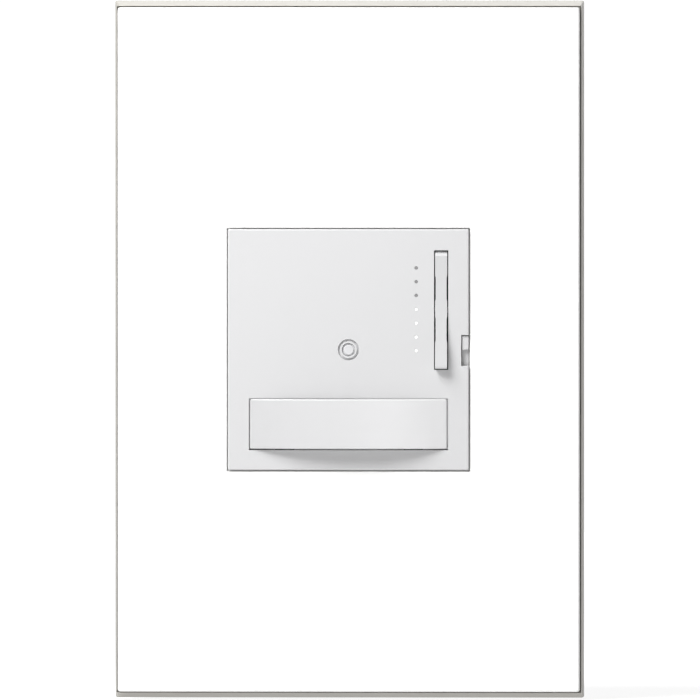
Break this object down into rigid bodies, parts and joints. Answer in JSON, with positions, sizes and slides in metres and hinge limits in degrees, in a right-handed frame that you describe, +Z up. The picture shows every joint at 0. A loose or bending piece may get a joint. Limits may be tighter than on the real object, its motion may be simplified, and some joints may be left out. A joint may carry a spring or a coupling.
{
  "type": "wall dimmer switch",
  "caption": "Flat wall dimmer: a push pad with a motion sensor lens, a narrow rocker bar for the level, level dots, an air-gap slider and a rear box, in a screwless plate.",
  "frame": {"origin": "centre of the plate's opening, on the wall's surface, which is the rear face of the plate's frame and of the strap", "axes": "+X to the right as the user sees it, +Y into the wall, +Z up"},
  "size_m": [0.0876, 0.045, 0.1304],
  "materials": {
    "plate_white": "smooth semi-gloss white thermoplastic",
    "frame_grey": "warm light grey moulded plastic",
    "pad_white": "fine-grained satin white plastic",
    "lens_milk": "milky polyethylene",
    "light_pipe": "clear acrylic, frosted at its end",
    "steel": "zinc plated steel",
    "brass": "nickel-free brass",
    "copper": "copper",
    "ground_green": "green passivated steel",
    "housing_black": "dark moulded thermoset",
    "deck_grey": "moulded plastic",
    "board_green": "solder-masked glass-fibre board",
    "chip_black": "moulded epoxy",
    "led_yellow": "phosphor under clear resin",
    "capacitor_red": "epoxy dip",
    "capacitor_blue": "printed sleeve"
  },
  "bodies": {
    "root": {"wall_plate": "plate_white", "plate_frame": "frame_grey", "sensor_lens": "lens_milk", "bar_pivot_pin": "steel", "mounting_strap": "steel", "motion_sensor": "steel", "sensor_shroud": "chip_black", "module_frame": "deck_grey", "rear_housing": "housing_black", "ground_screw": "ground_green", "choke_winding": "copper", "contact_upper": "brass", "contact_lower": "brass", "control_board": "board_green", "power_board": "board_green", "microcontroller": "chip_black", "board_connector": "chip_black", "choke_bobbin": "chip_black", "transistor_1": "chip_black", "transistor_2": "chip_black", "film_capacitor": "capacitor_red", "electrolytic_capacitor": "capacitor_blue", "status_led": "led_yellow", "pad_switch": "chip_black", "brighten_switch": "chip_black", "dim_switch": "chip_black", "pad_spring_left": "steel", "pad_spring_right": "steel", "box_screw_top": "steel", "box_screw_bottom": "steel", "plate_screw_top": "steel", "plate_screw_bottom": "steel", "housing_screw_1": "steel", "housing_screw_2": "steel", "housing_screw_3": "steel", "housing_screw_4": "steel", "level_led_1": "led_yellow", "level_led_2": "led_yellow", "level_led_3": "led_yellow", "level_led_4": "led_yellow", "level_led_5": "led_yellow", "level_led_6": "led_yellow", "level_led_7": "led_yellow", "terminal_plate_line": "brass", "terminal_screw_line": "brass", "terminal_plate_load": "brass", "terminal_screw_load": "brass", "terminal_plate_traveller": "brass", "terminal_screw_traveller": "brass"},
    "pad": {"push_pad": "pad_white", "status_bezel": "pad_white", "status_lens": "light_pipe", "light_guide": "light_pipe"},
    "pad_plunger": {"pad_plunger": "pad_white"},
    "bar": {"dimmer_bar": "pad_white"},
    "brighten_plunger": {"brighten_plunger": "pad_white"},
    "dim_plunger": {"dim_plunger": "pad_white"},
    "air_gap": {"air_gap_slider": "pad_white", "bridge_contact": "copper"}
  },
  "joints": [
    {"name": "pad_press", "type": "hinge", "parent": "root", "child": "pad", "pos_m": [0, -0.0076, 0.0218], "axis": [1, 0, 0], "range_deg": [0, 1], "stiffness_Nm_per_rad": 0.2, "springref_deg": -2.86, "deforming": ["pad_spring_left", "pad_spring_right"]},
    {"name": "pad_plunger_travel", "type": "slide", "parent": "root", "child": "pad_plunger", "axis": [0, 1, 0], "range_m": [0, 0.00028]},
    {"name": "bar_rock", "type": "hinge", "parent": "root", "child": "bar", "pos_m": [0.0173, -0.0041, 0.0074], "axis": [1, 0, 0], "range_deg": [-1.8, 1.8], "stiffness_Nm_per_rad": 0.003},
    {"name": "brighten_plunger_travel", "type": "slide", "parent": "root", "child": "brighten_plunger", "axis": [0, 1, 0], "range_m": [0, 0.00025], "stiffness_N_per_m": 1, "springref_m": -0.0005},
    {"name": "dim_plunger_travel", "type": "slide", "parent": "root", "child": "dim_plunger", "axis": [0, 1, 0], "range_m": [0, 0.00025], "stiffness_N_per_m": 1, "springref_m": -0.0005},
    {"name": "air_gap_slide", "type": "slide", "parent": "root", "child": "air_gap", "axis": [0, 0, -1], "range_m": [0, 0.0026]}
  ],
  "couplings": [
    {"joint": "pad_plunger_travel", "follows": "pad_press", "m_per_rad": 0.0158}
  ]
}
